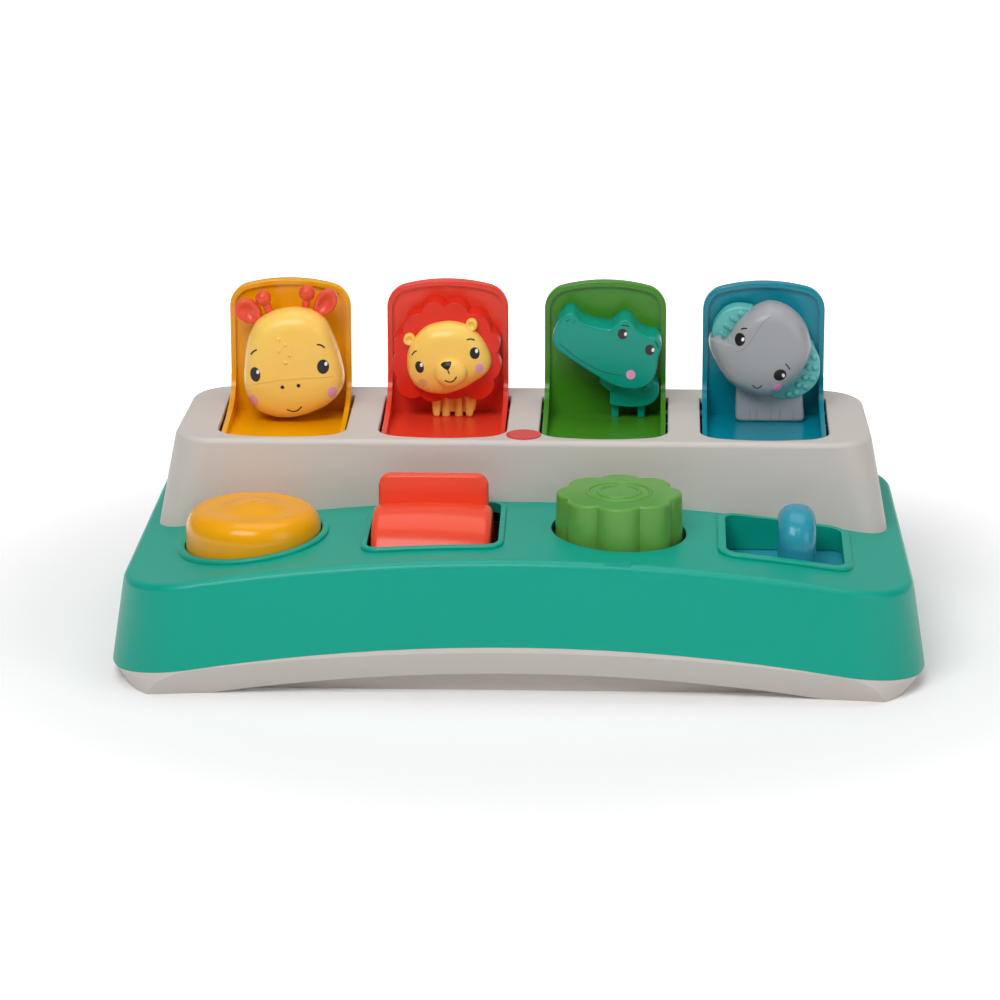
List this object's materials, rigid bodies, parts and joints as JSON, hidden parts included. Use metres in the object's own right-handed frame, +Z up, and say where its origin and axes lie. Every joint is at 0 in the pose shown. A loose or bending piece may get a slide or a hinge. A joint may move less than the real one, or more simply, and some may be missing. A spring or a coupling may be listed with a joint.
{
  "type": "pop up animal toy",
  "caption": "Child's pop-up toy: a row of spring lids with animals, each let go by a push button, a flip lever, a turn knob or a slider on an arched deck.",
  "frame": {"origin": "on the floor under the middle of the toy's outline", "axes": "+X to the player's right along the row of lids, +Y away from the player, +Z up"},
  "size_m": [0.32, 0.1695, 0.1327],
  "materials": {
    "teal_shell": "satin",
    "grey_shell": "satin",
    "ochre_lid": "satin",
    "coral_lid": "satin",
    "green_lid": "satin",
    "blue_lid": "satin",
    "yellow_animal": "satin",
    "red_animal": "satin",
    "coral_animal": "satin",
    "turquoise_animal": "satin",
    "grey_animal": "satin",
    "aqua_animal": "satin",
    "yellow_button": "satin",
    "orange_lever": "satin",
    "green_knob": "satin",
    "blue_slider": "satin",
    "red_disc": "satin",
    "white_plastic": "satin",
    "spring_steel": "satin",
    "screw_steel": "satin"
  },
  "bodies": {
    "toy": {"base_tray": "grey_shell", "deck_casing": "teal_shell", "rear_housing": "grey_shell", "case_screws": "screw_steel", "badge_disc": "red_disc", "lever_axle": "screw_steel", "button_spring": "spring_steel", "lever_spring": "spring_steel", "giraffe_lid_spring": "spring_steel", "lion_lid_spring": "spring_steel", "crocodile_lid_spring": "spring_steel", "elephant_lid_spring": "spring_steel"},
    "giraffe_carrier": {"giraffe_lid": "ochre_lid", "giraffe_head": "yellow_animal", "giraffe_horns_and_ears": "coral_animal"},
    "lion_carrier": {"lion_lid": "coral_lid", "lion_mane": "red_animal", "lion_head": "yellow_animal", "lion_body": "yellow_animal"},
    "crocodile_carrier": {"crocodile_lid": "green_lid", "crocodile_head": "turquoise_animal", "crocodile_body": "turquoise_animal"},
    "elephant_carrier": {"elephant_lid": "blue_lid", "elephant_head": "grey_animal", "elephant_ears": "aqua_animal", "elephant_body": "grey_animal"},
    "button": {"push_button": "yellow_button"},
    "lever": {"flip_lever": "orange_lever"},
    "knob": {"turn_knob": "green_knob", "knob_crank": "white_plastic", "knob_screw": "screw_steel"},
    "slider": {"slider_button": "blue_slider"},
    "giraffe_release": {"giraffe_release_bar": "white_plastic", "giraffe_catch": "white_plastic"},
    "lion_release": {"lion_release_bar": "white_plastic", "lion_catch": "white_plastic"},
    "crocodile_release": {"crocodile_release_bar": "white_plastic", "crocodile_catch": "white_plastic"},
    "elephant_release": {"elephant_release_bar": "white_plastic", "elephant_catch": "white_plastic"}
  },
  "joints": [
    {"name": "giraffe_lid_hinge", "type": "hinge", "parent": "toy", "child": "giraffe_carrier", "pos_m": [-0.0975, 0.057, 0.0765], "axis": [1, 0, 0], "range_deg": [0, 90], "stiffness_Nm_per_rad": 0.02, "springref_deg": -57.3, "deforming": ["giraffe_lid_spring", "giraffe_catch"]},
    {"name": "lion_lid_hinge", "type": "hinge", "parent": "toy", "child": "lion_carrier", "pos_m": [-0.0325, 0.057, 0.0765], "axis": [1, 0, 0], "range_deg": [0, 90], "stiffness_Nm_per_rad": 0.02, "springref_deg": -57.3, "deforming": ["lion_lid_spring", "lion_catch"]},
    {"name": "crocodile_lid_hinge", "type": "hinge", "parent": "toy", "child": "crocodile_carrier", "pos_m": [0.0325, 0.057, 0.0765], "axis": [1, 0, 0], "range_deg": [0, 90], "stiffness_Nm_per_rad": 0.02, "springref_deg": -57.3, "deforming": ["crocodile_lid_spring", "crocodile_catch"]},
    {"name": "elephant_lid_hinge", "type": "hinge", "parent": "toy", "child": "elephant_carrier", "pos_m": [0.0975, 0.057, 0.0765], "axis": [1, 0, 0], "range_deg": [0, 90], "stiffness_Nm_per_rad": 0.02, "springref_deg": -57.3, "deforming": ["elephant_lid_spring", "elephant_catch"]},
    {"name": "button_press", "type": "slide", "parent": "toy", "child": "button", "axis": [0, 0, 1], "range_m": [-0.006, 0], "stiffness_N_per_m": 400, "springref_m": 0.002, "deforming": ["button_spring"]},
    {"name": "lever_flip", "type": "hinge", "parent": "toy", "child": "lever", "pos_m": [-0.034, -0.036, 0.041], "axis": [1, 0, 0], "range_deg": [0, 35], "stiffness_Nm_per_rad": 0.05, "springref_deg": -22.92, "deforming": ["lever_spring"]},
    {"name": "knob_turn", "type": "hinge", "parent": "toy", "child": "knob", "pos_m": [0.0395, -0.0365, 0.05], "axis": [0, 0, -1], "range_deg": [0, 46]},
    {"name": "slider_slide", "type": "slide", "parent": "toy", "child": "slider", "axis": [1, 0, 0], "range_m": [-0.014, 0.005]},
    {"name": "giraffe_release_slide", "type": "slide", "parent": "toy", "child": "giraffe_release", "axis": [0, 1, 0], "range_m": [-0.0002, 0.0038]},
    {"name": "lion_release_slide", "type": "slide", "parent": "toy", "child": "lion_release", "axis": [0, 1, 0], "range_m": [-0.0002, 0.0038]},
    {"name": "crocodile_release_slide", "type": "slide", "parent": "toy", "child": "crocodile_release", "axis": [0, 1, 0], "range_m": [-0.0002, 0.0038]},
    {"name": "elephant_release_slide", "type": "slide", "parent": "toy", "child": "elephant_release", "axis": [0, 1, 0], "range_m": [-0.0014, 0.0038]}
  ],
  "couplings": [
    {"joint": "giraffe_release_slide", "follows": "button_press", "ratio": -0.6},
    {"joint": "lion_release_slide", "follows": "lever_flip", "m_per_rad": 0.0058933},
    {"joint": "crocodile_release_slide", "follows": "knob_turn", "m_per_rad": 0.004484},
    {"joint": "elephant_release_slide", "follows": "slider_slide", "ratio": -0.25714}
  ]
}
